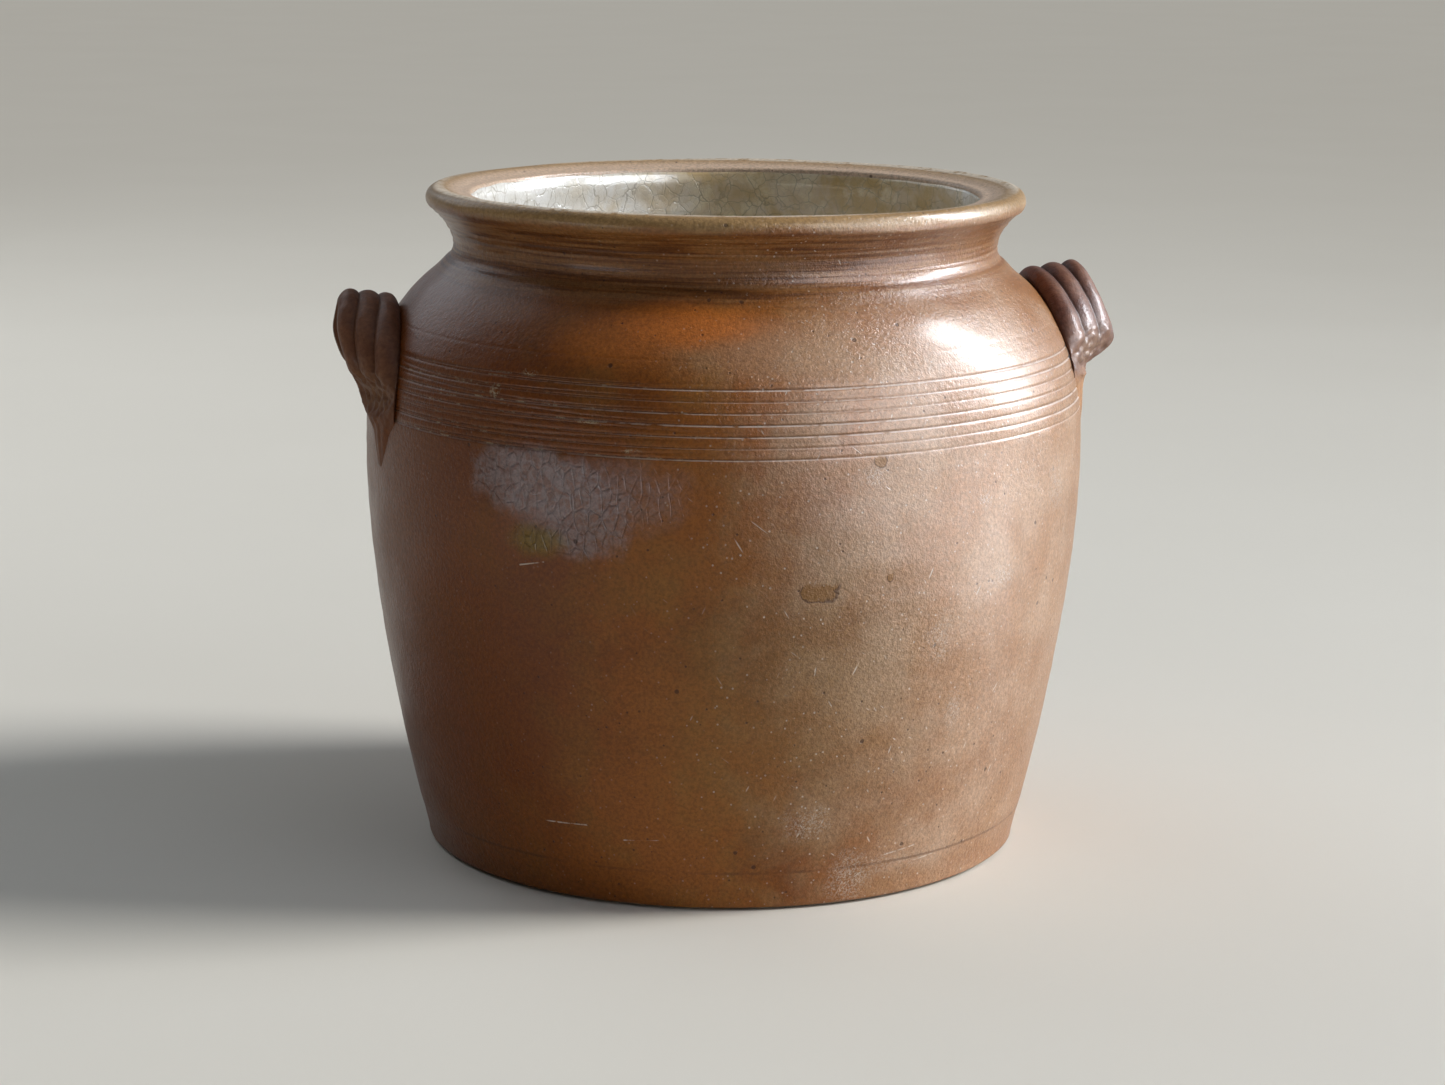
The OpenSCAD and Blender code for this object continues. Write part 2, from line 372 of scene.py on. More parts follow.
def make_handle(name, side, shape, rib_high, fold, seed):
    """One ear handle. side is 1 for the handle on +X and -1 for the one on -X. rib_high is the ribs'
    height and fold that of the crest where the outer rim turns in to the wall."""
    arch = np.linspace(END_ANGLE, math.pi - END_ANGLE, 171)
    tail = np.linspace(1, 0, 26, endpoint=False)
    inner, outer = (
        np.concatenate([tail_edge(edge[0], tail), edge, tail_edge(edge[-1], tail[::-1])])
        for edge in (inner_edge(arch, shape), outer_edge(arch, shape)))
    down = np.concatenate([tail, 0 * arch, tail[::-1]])[:, None]
    angle = np.concatenate([0 * tail + arch[0], arch, 0 * tail + arch[-1]])[:, None]
    across = outer - inner
    along = np.gradient(inner + outer, axis=0)
    up = np.cross(across, along)
    up = up / np.linalg.norm(up, axis=1, keepdims=True)
    for _ in range(8):
        up[1:-1] = (up[:-2] + 2 * up[1:-1] + up[2:]) / 4
        up = up / np.linalg.norm(up, axis=1, keepdims=True)
    # Distance up the arch from each foot, negative down the tails.
    middle = (inner + outer) / 2
    run = np.concatenate([[0], np.cumsum(np.linalg.norm(np.diff(middle, axis=0), axis=1))])
    rise = np.minimum(run - run[len(tail)], run[-1 - len(tail)] - run)[:, None]
    settled = smooth(down / TAIL_SETTLE)
    start = np.minimum(1, PRESS_DEPTH + np.sin(angle))
    ribbed = smooth((rise - RIB_START) / RIB_GROWTH)
    face_high = start * (1 - settled) + (TAIL_FACE - TAIL_THINNING * down) * settled
    q = np.linspace(0, 1, FACE_COLUMNS)[None, :]
    fullness = 1 - np.abs(2 * q - 1) ** (2 + 4 * ribbed)
    rib = np.abs(np.sin(RIB_N * math.pi * q)) ** 0.7
    height = face_high * fullness * STRAP_T / 2 + ribbed * rib_high * rib
    # The thumb press at each foot: a hollow with a crumpled ridge of clay round it.
    hollow = ((q - 0.5) * 2.4) ** 2 + ((rise - PRESS_UP) / PRESS_UP) ** 2
    ridge = bell(np.sqrt(hollow) - 1.25, 0.24)
    crumple = 0.3 * ripple(q * 12, rise, 9, 3, 7, seed)
    crumple = crumple + 0.2 * ripple(q * 20, rise, 9, 3, 3, seed + 1)
    pressing = np.exp(-hollow * 0.6)
    height = height - 1.8 * np.exp(-hollow) + 1.2 * ridge * (1 - 0.7 * ribbed)
    height = height + 1.9 * crumple * pressing
    # The strap's outer rim is folded up into a crest where it turns in to the wall.
    height = height + fold * bell(q - 0.96, 0.045) * bell(rise - 14, 9)
    height = height + 0.1 * ripple(q * 6, angle * 40, 8, 3, 9, seed + 2) * ribbed
    height = height + 0.22 * np.sin(q * 29 + seed) * smooth(down * 5) * (1 - down)
    face = inner[:, None] + across[:, None] * q[..., None] + up[:, None] * height[..., None]
    p = (np.arange(BACK_COLUMNS)[None, ::-1] + 0.5) / BACK_COLUMNS
    back_high = BACK_INSET + (1 - np.abs(2 * p - 1) ** (2 + 4 * ribbed)) * STRAP_T / 2
    deep = start * (1 - settled) + PRESS_DEPTH * settled
    back = inner[:, None] + across[:, None] * p[..., None] - up[:, None] * (deep * back_high)[..., None]
    rings = np.concatenate([face, back], axis=1)
    rings[..., :2] *= side
    under = 0 * p * angle
    off_arch = smooth((4 - rise) / 12)
    # The marks carry painted shade between the ribs and painted highlights on their tops.
    marks = {
        "pressed": np.concatenate([pressing, under], axis=1),
        "valley_shade": np.concatenate([ribbed * (1 - rib) ** 1.4, under], axis=1),
        "crest": np.concatenate([ribbed * rib**6, under], axis=1),
        "tail": np.concatenate([off_arch + 0 * q, off_arch + 0 * p], axis=1),
    }
    return closed_piece(name, rings, marks)


# ---- Materials ----


class Paint:
    """Builds one node material. Its coordinates are millimetres in the frame."""

    def __init__(self, name):
        self.material = bpy.data.materials.new(name)
        self.material.use_nodes = True
        self.tree = self.material.node_tree
        self.shader = self.tree.nodes["Principled BSDF"]
        place = self.add("ShaderNodeTexCoord").outputs["Object"]
        self.place = self.vector("SCALE", place, factor=1 / MM)
        split = self.add("ShaderNodeSeparateXYZ", {0: self.place})
        self.x, self.y, self.z = split.outputs

    def add(self, kind, sockets=None, **settings):
        made = self.tree.nodes.new(kind)
        for key, value in settings.items():
            setattr(made, key, value)
        for key, value in (sockets or {}).items():
            self.plug(made.inputs[key], value)
        return made

    def plug(self, socket, value):
        if isinstance(value, bpy.types.NodeSocket):
            self.tree.links.new(value, socket)
        elif isinstance(value, tuple) and socket.type == "RGBA":
            socket.default_value = (*value, 1)
        else:
            socket.default_value = value

    def set(self, **values):
        """Sets the shader's own sockets: underscores stand for spaces."""
        for key, value in values.items():
            self.plug(self.shader.inputs[key.replace("_", " ")], value)

    def math(self, operation, a, b=0.0):
        return self.add("ShaderNodeMath", {0: a, 1: b}, operation=operation).outputs[0]

    def vector(self, operation, a, b=(0, 0, 0), factor=1.0):
        sockets = {0: a, "Scale": factor} if operation == "SCALE" else {0: a, 1: b}
        made = self.add("ShaderNodeVectorMath", sockets, operation=operation)
        return made.outputs[1 if operation in ("LENGTH", "DOT_PRODUCT") else 0]

    def times(self, a, b):
        return self.math("MULTIPLY", a, b)

    def plus(self, a, b):
        return self.math("ADD", a, b)

    def most(self, *values):
        total = values[0]
        for value in values[1:]:
            total = self.math("MAXIMUM", total, value)
        return total

    def between(self, value, low, high, to_low=0.0, to_high=1.0):
        """value from low to high, smoothly taken to a new range."""
        made = self.add("ShaderNodeMapRange", {0: value, 1: low, 2: high, 3: to_low, 4: to_high},
                        interpolation_type="SMOOTHSTEP")
        return made.outputs[0]

    def stretched(self, sx, sy, sz):
        return self.vector("MULTIPLY", self.place, (sx, sy, sz))

    def noise(self, size, detail=2.0, roughness=0.5, distortion=0.0, at=None, shift=0.0):
        place = self.vector("ADD", at or self.place, (shift, 2 * shift, -shift))
        made = self.add("ShaderNodeTexNoise", {
            "Vector": place, "Scale": 1 / size, "Detail": detail,
            "Roughness": roughness, "Distortion": distortion})
        return made.outputs[0]

    def cells(self, size, feature="F1", randomness=1.0, at=None):
        made = self.add("ShaderNodeTexVoronoi", {
            "Vector": at or self.place, "Scale": 1 / size, "Randomness": randomness}, feature=feature)
        return made.outputs

    def mix(self, share, a, b):
        made = self.add("ShaderNodeMix", data_type="RGBA")
        self.plug(made.inputs[0], share)
        self.plug(made.inputs[6], a)
        self.plug(made.inputs[7], b)
        return made.outputs[2]

    def shade(self, colour, value):
        """colour made lighter or darker by a number about 1."""
        made = self.add("ShaderNodeMix", data_type="RGBA", blend_type="MULTIPLY")
        self.plug(made.inputs[0], 1.0)
        self.plug(made.inputs[6], colour)
        self.plug(made.inputs[7], value)
        return made.outputs[2]

    def attribute(self, name):
        return self.add("ShaderNodeAttribute", attribute_name=name).outputs["Fac"]

    def spot(self, azimuth, height, wide, high, soft=0.5, ragged=0.0):
        """1 on a patch of the wall with these half sizes, fading to 0 at its edge."""
        centre = wall_point(azimuth, height)
        off = self.vector("SUBTRACT", self.place, tuple(centre))
        off = self.vector("MULTIPLY", off, (1 / wide, 1 / wide, 1 / high))
        far = self.vector("LENGTH", off)
        if ragged:
            far = self.plus(far, self.times(self.plus(self.noise(9, 3), -0.5), ragged))
        return self.between(far, 1 + soft, 1 - soft)

    def scratch(self, azimuth, height, length, tilt, width=0.35):
        """1 along a straight scratch on the wall. tilt is in degrees from level."""
        centre = Vector(wall_point(azimuth, height))
        side = math.radians(azimuth + 90)
        lean = math.radians(tilt)
        along = Vector((math.cos(side) * math.cos(lean), math.sin(side) * math.cos(lean), math.sin(lean)))
        off = self.vector("SUBTRACT", self.place, tuple(centre))
        reach = self.vector("DOT_PRODUCT", off, tuple(along))
        reach = self.math("MINIMUM", self.math("MAXIMUM", reach, -length / 2), length / 2)
        nearest = self.vector("SCALE", tuple(along), factor=reach)
        far = self.vector("LENGTH", self.vector("SUBTRACT", off, nearest))
        return self.between(far, width * 1.6, width * 0.5)

    def bumped(self, *layers):
        """Normals from (height, distance in mm) layers, laid on each other."""
        normal = None
        for height, distance in layers:
            sockets = {"Height": height, "Distance": distance * MM, "Strength": 1.0}
            made = self.add("ShaderNodeBump", sockets)
            if normal:
                self.plug(made.inputs["Normal"], normal)
            normal = made.outputs[0]
        self.plug(self.shader.inputs["Normal"], normal)


def wall_point(azimuth, height):
    """The point of the outer wall at this azimuth and height, in mm."""
    r = float(wall_r(height)) if height < NECK_Z else NECK_R
    a = math.radians(azimuth)
    return (r * math.cos(a), r * math.sin(a), height)


def toward(paint, azimuth):
    """How far a point lies toward this azimuth, from -1 to 1 at the belly."""
    a = math.radians(azimuth)
    x = paint.times(paint.x, math.cos(a) / BELLY_R)
    return paint.plus(x, paint.times(paint.y, math.sin(a) / BELLY_R))


ORANGE = (0.28, 0.09, 0.013)
BROWN = (0.15, 0.038, 0.006)
OCHRE = (0.25, 0.115, 0.02)
TAN = (0.36, 0.17, 0.06)


def salt_glaze():
    """Salt-glazed stoneware: orange to deep brown, mottled, specked, scratched and worn, with painted
    light, shade, highlights and reflections.
    """
    p = Paint("salt_glazed_stoneware")
    broad = p.noise(80, 3, 0.55, 0.4)
    cloudy = p.noise(26, 4, 0.6, 0.3, shift=40)
    grain = p.noise(1.5, 4, 0.7, shift=90)
    fine = p.noise(0.8, 2, 0.6, shift=15)
    colour = p.mix(p.between(broad, 0.38, 0.66, 0.0, 0.55), ORANGE, BROWN)
    colour = p.mix(p.times(p.between(cloudy, 0.42, 0.68), 0.5), colour, OCHRE)
    # Painted shade and light: the left side is deeper brown, the right side lighter and more tan.
    left = p.between(p.plus(toward(p, 180), p.times(broad, 0.4)), 0.3, 1.15)
    colour = p.mix(p.times(left, 0.85), colour, BROWN)
    right = p.between(p.plus(toward(p, -25), p.times(cloudy, 0.45)), 0.55, 1.15)
    colour = p.mix(p.times(right, 0.6), colour, TAN)
    # Painted sheen: a pale greyish tan over the lit front right, broken up by noise.
    painted_sheen = p.between(p.plus(toward(p, -54), p.times(cloudy, 0.3)), 0.82, 1.1)
    painted_sheen = p.times(painted_sheen, p.between(p.noise(34, 4, 0.6, shift=120), 0.34, 0.66, 0.45, 1.0))
    colour = p.mix(p.times(painted_sheen, 0.68), colour, (0.52, 0.36, 0.255))
    # Painted sheen: a paler patch on the front of the shoulder.
    shoulder_sheen = p.times(p.spot(-86, 240, 42, 11, 0.7, 0.6), 0.4)
    colour = p.mix(shoulder_sheen, colour, (0.5, 0.34, 0.22))
    # Brown streaked neck, dark under the rim, partly its own colour and partly painted shade, heavier on
    # the left; and an olive to ochre rim.
    streaks = p.noise(5, 4, 0.6, at=p.stretched(0.09, 0.09, 3.2), shift=28)
    neck = p.times(p.between(p.z, 253, 262), p.between(p.z, 291, 284))
    colour = p.mix(p.times(neck, p.between(right, 0, 1, 0.7, 0.35)), colour, (0.17, 0.062, 0.015))
    # Pale streaks on the right: painted highlights.
    colour = p.mix(p.times(p.times(neck, p.between(streaks, 0.46, 0.6)), 0.35), colour, (0.34, 0.19, 0.08))
    # Dark streaks on the left: painted shade.
    deep = p.times(p.times(neck, p.between(streaks, 0.5, 0.38)), p.between(right, 0, 0.8, 0.6, 0.1))
    colour = p.mix(deep, colour, (0.06, 0.02, 0.007))
    rim = p.between(p.plus(p.z, p.times(cloudy, 4)), 288.5, 293)
    colour = p.mix(p.times(rim, 0.9), colour, (0.36, 0.225, 0.095))
    dish = p.between(p.z, 294.6, 291.6)
    inner_rim = p.times(dish, p.between(p.vector("LENGTH", p.stretched(1, 1, 0)), 128, 122))
    colour = p.mix(p.times(inner_rim, p.between(p.z, 286, 289)), colour, (0.58, 0.42, 0.3))
    # Painted highlight: a pale broken line along the rim's crest.
    crest = p.times(p.between(p.z, CROCK_H - 0.7, CROCK_H), p.between(p.noise(4, 3, 0.6), 0.3, 0.5))
    colour = p.mix(p.times(crest, 0.8), colour, (0.75, 0.66, 0.54))
    # An orange patch of painted warm light on the shoulder, and an ochre bloom low on the belly.
    warm_light_patch = p.most(p.spot(-107, 250, 30, 8, 0.5, 0.6), p.times(p.spot(-117, 244, 24, 9, 0.7, 0.6), 0.7))
    colour = p.mix(p.times(warm_light_patch, 0.85), colour, (0.5, 0.145, 0.022))
    bloom = p.spot(-84, 100, 50, 60, 0.8, 0.7)
    colour = p.mix(p.times(bloom, 0.45), colour, (0.25, 0.145, 0.045))
    # A creased purple-grey patch of painted reflection, with a greenish tint at its lower edge.
    painted_reflection = p.most(p.spot(-129, 186, 27, 14, 0.22, 0.7), p.spot(-120, 176, 22, 19, 0.3, 0.9))
    painted_reflection = p.most(painted_reflection, p.times(p.spot(-113, 183, 22, 13, 0.6, 0.9), 0.6))
    veins = p.between(p.noise(5, 4, 0.7, 1.2, shift=3), 0.36, 0.6, 0.4, 1.0)
    colour = p.mix(p.times(p.times(painted_reflection, veins), 0.8), colour, (0.28, 0.215, 0.215))
    # The greenish tint at the lower edge of the painted reflection.
    reflection_tint = p.spot(-127, 161, 11, 6, 0.6, 0.9)
    colour = p.mix(p.times(reflection_tint, 0.7), colour, (0.2, 0.135, 0.015))
    # Mottling of the salt glaze.
    colour = p.shade(colour, p.between(grain, 0.28, 0.72, 0.76, 1.26))
    # Dark iron specks and pale pits and grit.
    specks = p.cells(6.8)
    chosen = p.math("GREATER_THAN", p.noise(20, 2, shift=7), 0.47)
    blots = p.cells(17, at=p.vector("ADD", p.place, (13, 1, 7)))
    wobble = p.times(p.noise(2, 2, shift=19), 0.03)
    dark = p.most(p.times(p.between(specks["Distance"], 0.1, 0.055), chosen),
                  p.between(p.plus(blots["Distance"], wobble), 0.085, 0.06))
    colour = p.mix(p.times(dark, 0.7), colour, (0.03, 0.011, 0.006))
    # Pale pits and scratches are paler toward the lit side: partly real, partly painted glints.
    lit_side = p.plus(toward(p, -40), p.noise(30, 3, shift=77))
    pits = p.cells(3.6, at=p.vector("ADD", p.place, (3, 31, 17)))
    pale = p.times(p.between(pits["Distance"], 0.16, 0.08), p.between(lit_side, 0.6, 1.4, 0.15, 1.0))
    pale = p.times(pale, p.between(p.noise(9, 3, 0.6, shift=66), 0.42, 0.54))
    # Hairline scratches, mostly on the lit side, partly painted glints.
    hairs = []
    for slope, turn_by in ((0.6, 5), (-0.45, 29), (1.3, 61)):
        shear = p.vector("SCALE", (1, 0, 0), factor=p.times(p.z, slope))
        cut = p.vector("ADD", p.stretched(1, 1, 0.12), shear)
        line = p.cells(5.5, at=p.vector("ADD", cut, (turn_by, -turn_by, turn_by)))["Distance"]
        hairs.append(p.between(line, 0.085, 0.04))
    thin = p.times(p.most(*hairs), p.between(lit_side, 0.7, 1.3))
    thin = p.times(thin, p.between(p.noise(16, 3, 0.6, shift=101), 0.44, 0.56))
    # Longer scratches, each placed by azimuth, height, length and tilt.
    cuts = [(-84.8, 37, 17, 62), (-81, 41, 12, 70), (-112, 32, 15, 4), (-126, 36, 22, 3),
            (-84, 112, 16, 84), (-72, 30, 14, -60), (-60, 16, 26, 6), (-74, 12, 16, 35),
            (-76, 14, 13, -40), (-55, 140, 12, 60), (-66, 22, 20, 8), (-48, 90, 16, 55),
            (-70, 72, 9, 75), (-128, 151, 12, 12)]
    marks = p.most(*[p.scratch(*cut, 0.28) for cut in cuts])
    marks = p.times(marks, p.between(p.noise(2.2, 2, shift=55), 0.35, 0.55))
    # Rubbed places, each by azimuth, height, half width and half height.
    rubbed = p.most(p.spot(-75, 12, 8, 11, 0.8, 1.4), p.times(p.spot(-66, 17, 26, 4, 0.8, 1.4), 0.5))
    scuffs = [(-76, 190, 7, 4), (-35, 172, 7, 8), (-50, 140, 6, 5), (-63, 117, 6, 9),
              (-58, 85, 4, 9), (-84, 40, 8, 6), (-55.5, 176, 3, 3)]
    for azimuth, height, wide, high in scuffs:
        rubbed = p.most(rubbed, p.times(p.spot(azimuth, height, wide, high, 0.9, 1.6), 0.8))
    rubbed = p.times(rubbed, p.between(p.noise(0.9, 4, 0.75, 0.6, shift=33), 0.45, 0.62))
    pale = p.most(p.times(pale, 0.75), p.times(thin, 0.75), p.times(marks, 0.8), p.times(rubbed, 0.7))
    # The scored lines: painted shade in the cut, heavier on the left, a painted highlight along the sill,
    # and chalk left in them on the left.
    score = p.attribute("score")
    sill = p.attribute("sill")
    groove_shade = p.times(p.between(score, 0.12, 0.45), p.between(sill, 0.7, 0.2))
    groove_shade = p.times(groove_shade, p.between(toward(p, 180), -0.4, 0.6, 0.3, 0.75))
    colour = p.mix(groove_shade, colour, (0.07, 0.024, 0.009))
    # Painted highlight along the sills, mostly on the right and front.
    broken = p.between(p.noise(7, 3, 0.6, at=p.stretched(1, 1, 3), shift=9), 0.3, 0.5)
    broken = p.times(broken, p.between(toward(p, 180), 0.7, 0.0, 0.15, 0.9))
    sill_highlight = p.times(p.between(sill, 0.35, 0.85), broken)
    colour = p.mix(sill_highlight, colour, (0.66, 0.55, 0.49))
    chalk = p.times(p.between(score, 0.15, 0.5), p.between(toward(p, -140), 0.45, 0.95))
    chalk = p.times(chalk, p.between(p.noise(5, 3, 0.7, shift=21), 0.54, 0.66))
    crumbs = p.most(p.spot(-136, 221, 2.5, 3.5, 0.4, 1.5), p.spot(-130, 229, 3, 1.2, 0.4, 1.5))
    crumbs = p.most(crumbs, p.spot(-119, 212, 5, 0.8, 0.4, 0.8), p.spot(-112, 201, 4, 0.9, 0.4, 0.8))
    crumbs = p.times(crumbs, p.between(p.noise(1.5, 3, 0.7, shift=44), 0.48, 0.56))
    colour = p.mix(p.times(p.most(chalk, crumbs), 0.7), colour, (0.42, 0.32, 0.2))
    colour = p.mix(pale, colour, (0.66, 0.56, 0.47))
    # Drip stains, filled in and darker round their lower edges: azimuth, height, wide, high.
    for azimuth, height, wide, high in ((-83.9, 144, 9, 5), (-74.9, 197, 3.4, 3), (-72.8, 148, 1.5, 2.6)):
        off = p.vector("SUBTRACT", p.place, wall_point(azimuth, height))
        off = p.vector("MULTIPLY", off, (1 / wide, 1 / wide, 1 / high))
        far = p.plus(p.vector("LENGTH", off), p.times(p.plus(p.noise(6, 2, shift=height), -0.5), 1.3))
        top_z = p.plus(p.z, p.times(p.noise(3, 2), -high))
        under = p.between(top_z, height + high * 0.1, height - high * 0.3)
        filled = p.times(p.between(far, 1.0, 0.9), under)
        edge = p.times(p.between(p.math("ABSOLUTE", p.plus(far, -0.96)), 0.13, 0.05), under)
        colour = p.mix(p.times(filled, 0.85), colour, (0.23, 0.1, 0.015))
        colour = p.mix(p.times(edge, 0.75), colour, (0.075, 0.028, 0.008))
    # Darker along the foot's line, and bare clay on the underside and at the foot's edge.
    foot_line = p.between(p.math("ABSOLUTE", p.plus(p.z, -FOOT_PAINT_Z)), 0.9, 0.3)
    colour = p.mix(p.times(foot_line, p.between(cloudy, 0.35, 0.6, 0.1, 0.5)), colour, (0.09, 0.03, 0.01))
    bare = p.between(p.plus(p.z, p.times(p.plus(cloudy, -0.5), 3)), 1.8, 0.8)
    colour = p.mix(bare, colour, (0.3, 0.19, 0.115))
    p.set(Base_Color=colour, IOR=1.5, Specular_IOR_Level=0.16, Coat_Weight=0.16, Coat_Roughness=0.18)
    rough = p.plus(p.between(cloudy, 0.3, 0.7, 0.3, 0.42), p.times(p.most(painted_reflection, bare), 0.1))
    p.set(Roughness=rough)
    creased = p.vector("ADD", p.stretched(1, 1, 0.5), (0, 0, 9))
    wrinkle = p.cells(4.2, "DISTANCE_TO_EDGE", at=creased)["Distance"]
    wrinkle = p.times(p.between(wrinkle, 0.0, 0.1), p.most(painted_reflection, reflection_tint))
    pitted = p.most(dark, pale)
    p.bumped((p.noise(2.4, 4, 0.6, shift=61), 0.4), (fine, 0.2), (p.times(pitted, -1), 0.12),
             (wrinkle, 0.5), (p.times(streaks, neck), 0.3))
    return p.material


def lining_glaze():
    """White tin-like glaze, crackled, stained olive-brown toward the back and right, where the darker
    colour is also painted shade.
    """
    p = Paint("lining_glaze")
    cloudy = p.noise(22, 4, 0.6, 0.5)
    blotch = p.noise(12, 4, 0.6, shift=12)
    colour = p.mix(p.between(cloudy, 0.35, 0.7), (0.93, 0.93, 0.91), (0.72, 0.7, 0.64))
    # Stain and painted shade: olive-brown toward the back and right.
    back = p.between(p.plus(toward(p, 55), p.times(cloudy, 0.7)), 0.55, 1.15)
    colour = p.mix(p.times(back, 0.92), colour, (0.6, 0.4, 0.145))
    colour = p.mix(p.times(p.times(back, p.between(blotch, 0.44, 0.68)), 0.75), colour, (0.9, 0.8, 0.55))
    low = p.between(p.z, 150, 20)
    colour = p.mix(p.times(low, 0.4), colour, (0.36, 0.29, 0.18))
    bend = p.add("ShaderNodeTexNoise", {"Vector": p.place, "Scale": 1 / 6, "Detail": 3.0}).outputs[1]
    bent = p.vector("ADD", p.place, p.vector("SCALE", bend, factor=5.0))
    wide = p.cells(8, "DISTANCE_TO_EDGE", at=bent)["Distance"]
    narrow = p.cells(3.6, "DISTANCE_TO_EDGE", at=bent)["Distance"]
    lines = p.most(p.between(wide, 0.045, 0.008), p.times(p.between(narrow, 0.05, 0.01), 0.4))
    lines = p.times(lines, p.between(blotch, 0.3, 0.6, 0.25, 1.0))
    colour = p.mix(p.times(lines, 0.55), colour, (0.27, 0.22, 0.15))
    rough = p.between(cloudy, 0.3, 0.7, 0.14, 0.28)
    p.set(Base_Color=colour, Roughness=rough, IOR=1.5, Coat_Weight=0.3, Coat_Roughness=0.08)
    p.bumped((p.noise(5, 2), 0.15), (p.times(lines, -1), 0.06))
    return p.material


def handle_glaze():
    """Chocolate-brown glaze, with painted shade in the valleys between the ribs and painted highlights on
    their crests, paler where thumbs pressed it, and the wall's colour, with its painted shade and light,
    down the tails."""
    p = Paint("handle_stoneware")
    cloudy = p.noise(16, 4, 0.6, 0.3, shift=5)
    grain = p.noise(2.4, 4, 0.65, shift=70)
    colour = p.mix(p.between(cloudy, 0.35, 0.68), (0.12, 0.042, 0.026), (0.17, 0.07, 0.04))
    # Painted shade in the valleys between the ribs, and painted highlights on the rib crests.
    colour = p.mix(p.times(p.attribute("valley_shade"), 0.85), colour, (0.025, 0.008, 0.005))
    painted_reflection = p.times(p.attribute("crest"), p.between(cloudy, 0.35, 0.6, 0.15, 0.5))
    colour = p.mix(painted_reflection, colour, (0.26, 0.12, 0.07))
    pressed = p.times(p.attribute("pressed"), p.between(grain, 0.3, 0.6, 0.3, 1.0))
    colour = p.mix(p.times(pressed, 0.7), colour, (0.2, 0.115, 0.055))
    left = p.between(toward(p, 180), 0.2, 0.6)
    # The tails take the wall's colour, with its painted shade on the left and painted light on the right.
    colour = p.mix(p.attribute("tail"), colour, p.mix(left, TAN, BROWN))
    colour = p.mix(p.times(left, 0.45), colour, (0.17, 0.06, 0.018))
    colour = p.shade(colour, p.between(grain, 0.2, 0.8, 0.75, 1.25))
    rough = p.plus(p.between(cloudy, 0.3, 0.7, 0.46, 0.58), p.times(left, 0.1))
    p.set(Base_Color=colour, Roughness=rough, IOR=1.5, Specular_IOR_Level=0.16, Coat_Weight=0.08)
    p.set(Coat_Roughness=0.12)
    p.bumped((p.noise(2.2, 3, 0.6, shift=31), 0.35), (p.noise(0.9, 2, shift=11), 0.08))
    return p.material


# ---- The pieces ----

body = make_body()
lining = make_lining()
left_handle = make_handle("left_ear_handle", -1, LEFT_SHAPE, 1.9, 0.6, 51)
right_handle = make_handle("right_ear_handle", 1, RIGHT_SHAPE, 2.1, 1.4, 61)

handle_finish = handle_glaze()
for piece, node, slot, finish in (
    (body, "crock_body", "salt_glazed_stoneware", salt_glaze()),
    (lining, "interior_glaze", "lining_glaze", lining_glaze()),
    (left_handle, "left_handle", "handle_stoneware", handle_finish),
    (right_handle, "right_handle", "handle_stoneware", handle_finish),
):
    piece.data.materials.append(finish)
    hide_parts(node)
    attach(piece, "root")

# ---- Floor, light and camera ----


def make_floor():
    half = 30.0
    mesh = bpy.data.meshes.new("floor")
    corners = [(-half, -half, 0), (half, -half, 0), (half, half, 0), (-half, half, 0)]
    mesh.from_pydata(corners, [], [(0, 1, 2, 3)])
    floor = bpy.data.objects.new("floor", mesh)
    bpy.context.scene.collection.objects.link(floor)
    paint = Paint("floor")
    colour = paint.mix(paint.noise(240, 4), (0.66, 0.63, 0.56), (0.69, 0.66, 0.59))
    paint.set(Base_Color=colour, Roughness=0.75)
    mesh.materials.append(paint.material)


def direction(azimuth, elevation):
    a, e = math.radians(azimuth), math.radians(elevation)
    return Vector((math.cos(a) * math.cos(e), math.sin(a) * math.cos(e), math.sin(e)))


def make_panel(name, place, aim, wide, high, radiance, glossy_only):
    """A flat light at place that faces aim. radiance is what a mirror would show of it."""
    data = bpy.data.lights.new(name, "AREA")
    data.shape = "RECTANGLE"
    data.size, data.size_y = wide, high
    data.energy = radiance * wide * high * math.pi
    data.color = (0.87, 0.93, 1.0)
    panel = bpy.data.objects.new(name, data)
    bpy.context.scene.collection.objects.link(panel)
    panel.location = place
    panel.rotation_euler = (Vector(aim) - Vector(place)).to_track_quat("-Z", "Y").to_euler()
    panel.visible_camera = False
    panel.visible_diffuse = not glossy_only
    return panel


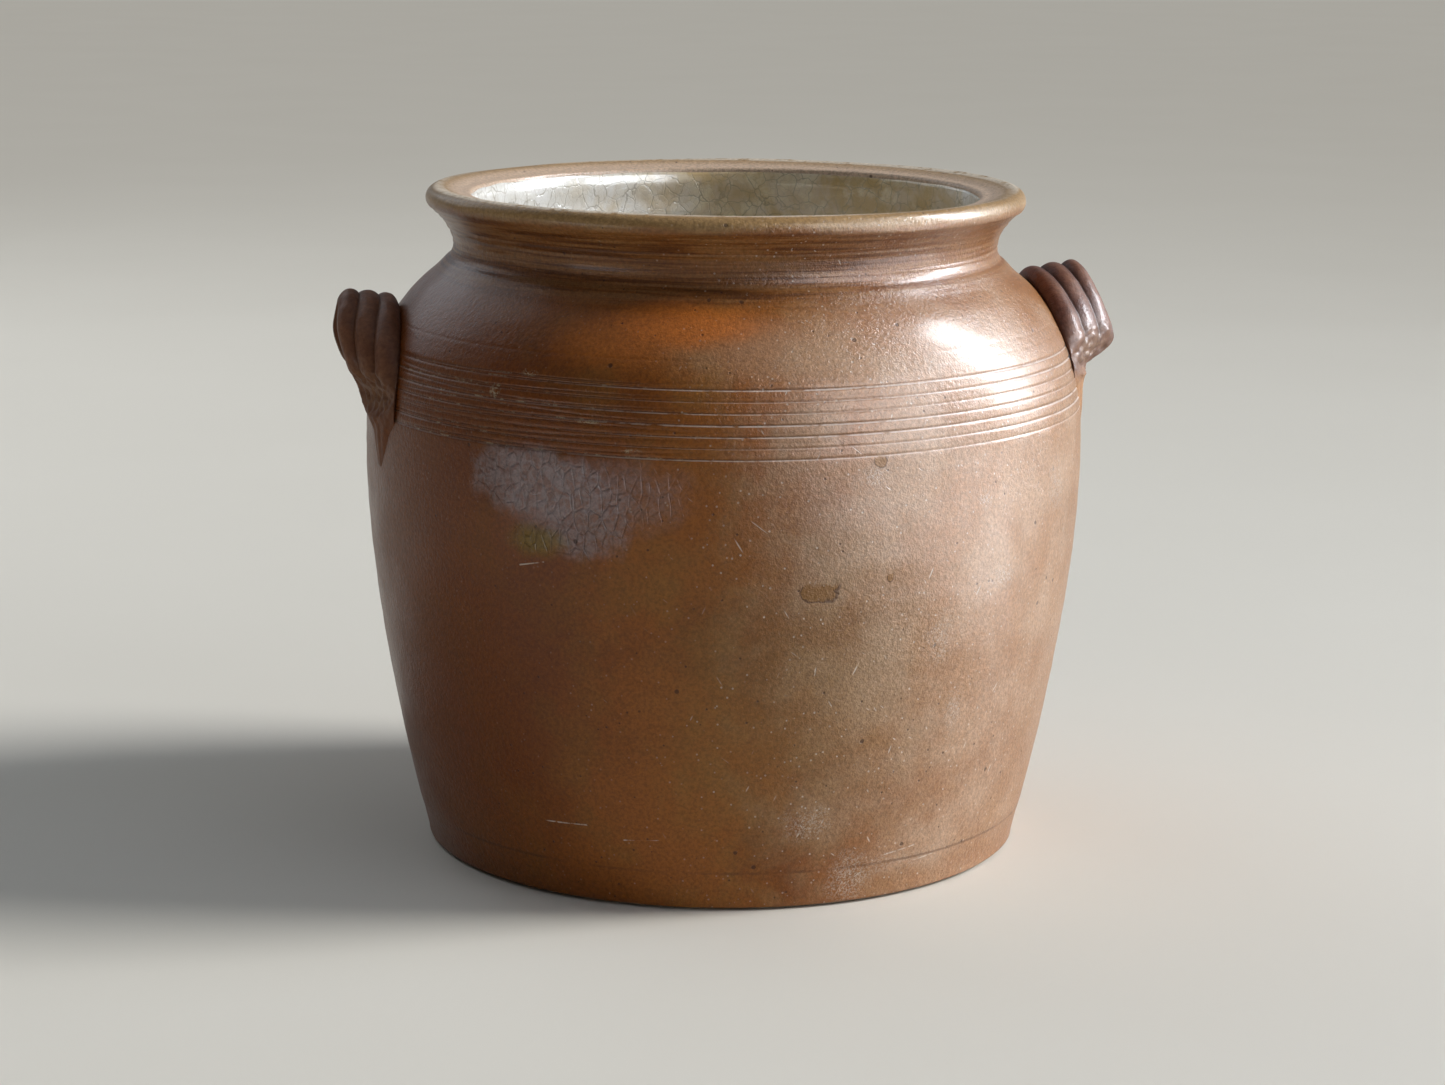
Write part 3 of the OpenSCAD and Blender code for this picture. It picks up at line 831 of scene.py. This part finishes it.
def make_lights():
    """A soft low sun from the right, a tall window that gives the highlight on the shoulder, the
    glare of a bright table, and weak fills. The panels marked True show only in gloss."""
    sun_data = bpy.data.lights.new("soft_sun", "SUN")
    sun_data.energy = 3.3
    sun_data.angle = math.radians(20)
    sun = bpy.data.objects.new("soft_sun", sun_data)
    bpy.context.scene.collection.objects.link(sun)
    sun.rotation_euler = direction(-6, 33).to_track_quat("Z", "Y").to_euler()
    sun.visible_glossy = False
    middle = Vector((0, 0, 0.22))
    window = Vector((0, 0, 1.45)) + direction(4, 0) * 2.2
    make_panel("window", window, (0, 0, window.z), 0.65, 2.2, 82.0, True)
    low = Vector((0, 0, 0.02)) + direction(-148, 0) * 1.3
    make_panel("low_glow", low, low + Vector((0, 0, 1)), 0.8, 0.8, 4.0, True)
    right = Vector((0, 0, 0.01)) + direction(-30, 0) * 1.2
    make_panel("table_glare", right, right + Vector((0, 0, 1)), 1.3, 1.1, 10.0, True)
    front = direction(-48, 22) * 2.0
    make_panel("front_fill", front, middle, 1.5, 1.3, 13.0, True)
    behind = Vector((0, 0, 0.7)) + direction(FRONT_AZ + 180, 0) * 1.5
    make_panel("back_wall", behind, middle, 4.0, 1.4, 0.18, True)
    side = direction(-28, 12) * 2.4
    make_panel("side_fill", side, middle, 1.4, 1.4, 0.9, False)
    back = direction(128, 38) * 2.4
    make_panel("back_fill", back, middle, 1.6, 1.6, 1.3, False)
    make_panel("ceiling", (0, 0, 2.2), middle, 2.6, 2.6, 0.3, False)
    world = bpy.data.worlds.new("studio")
    bpy.context.scene.world = world
    world.use_nodes = True
    back = world.node_tree.nodes["Background"]
    back.inputs["Color"].default_value = (0.9, 0.95, 1.0, 1)
    back.inputs["Strength"].default_value = 0.08


def make_camera():
    """A little above the rim in front, turned so that the left handle is a little nearer."""
    pitch = 0.2055
    roll = 0.0088
    away = 1.4705
    height = 0.438
    outward = direction(FRONT_AZ, 0)
    ahead = -outward * math.cos(pitch) - Vector((0, 0, math.sin(pitch)))
    aside = Vector((-outward.y, outward.x, 0))
    over = aside.cross(ahead)
    across = aside * math.cos(roll) + over * math.sin(roll)
    upward = over * math.cos(roll) - aside * math.sin(roll)
    data = bpy.data.cameras.new("camera")
    data.sensor_width = 36.0
    data.lens = 82.2
    data.clip_end = 200.0
    camera = bpy.data.objects.new("camera", data)
    bpy.context.scene.collection.objects.link(camera)
    turn = Matrix((across, upward, -ahead)).transposed().to_4x4()
    place = outward * away + Vector((0, 0, height))
    camera.matrix_world = Matrix.Translation(place) @ turn
    bpy.context.scene.camera = camera


make_floor()
make_lights()
make_camera()
bpy.context.scene.view_settings.view_transform = "Standard"

bpy.context.view_layer.update()
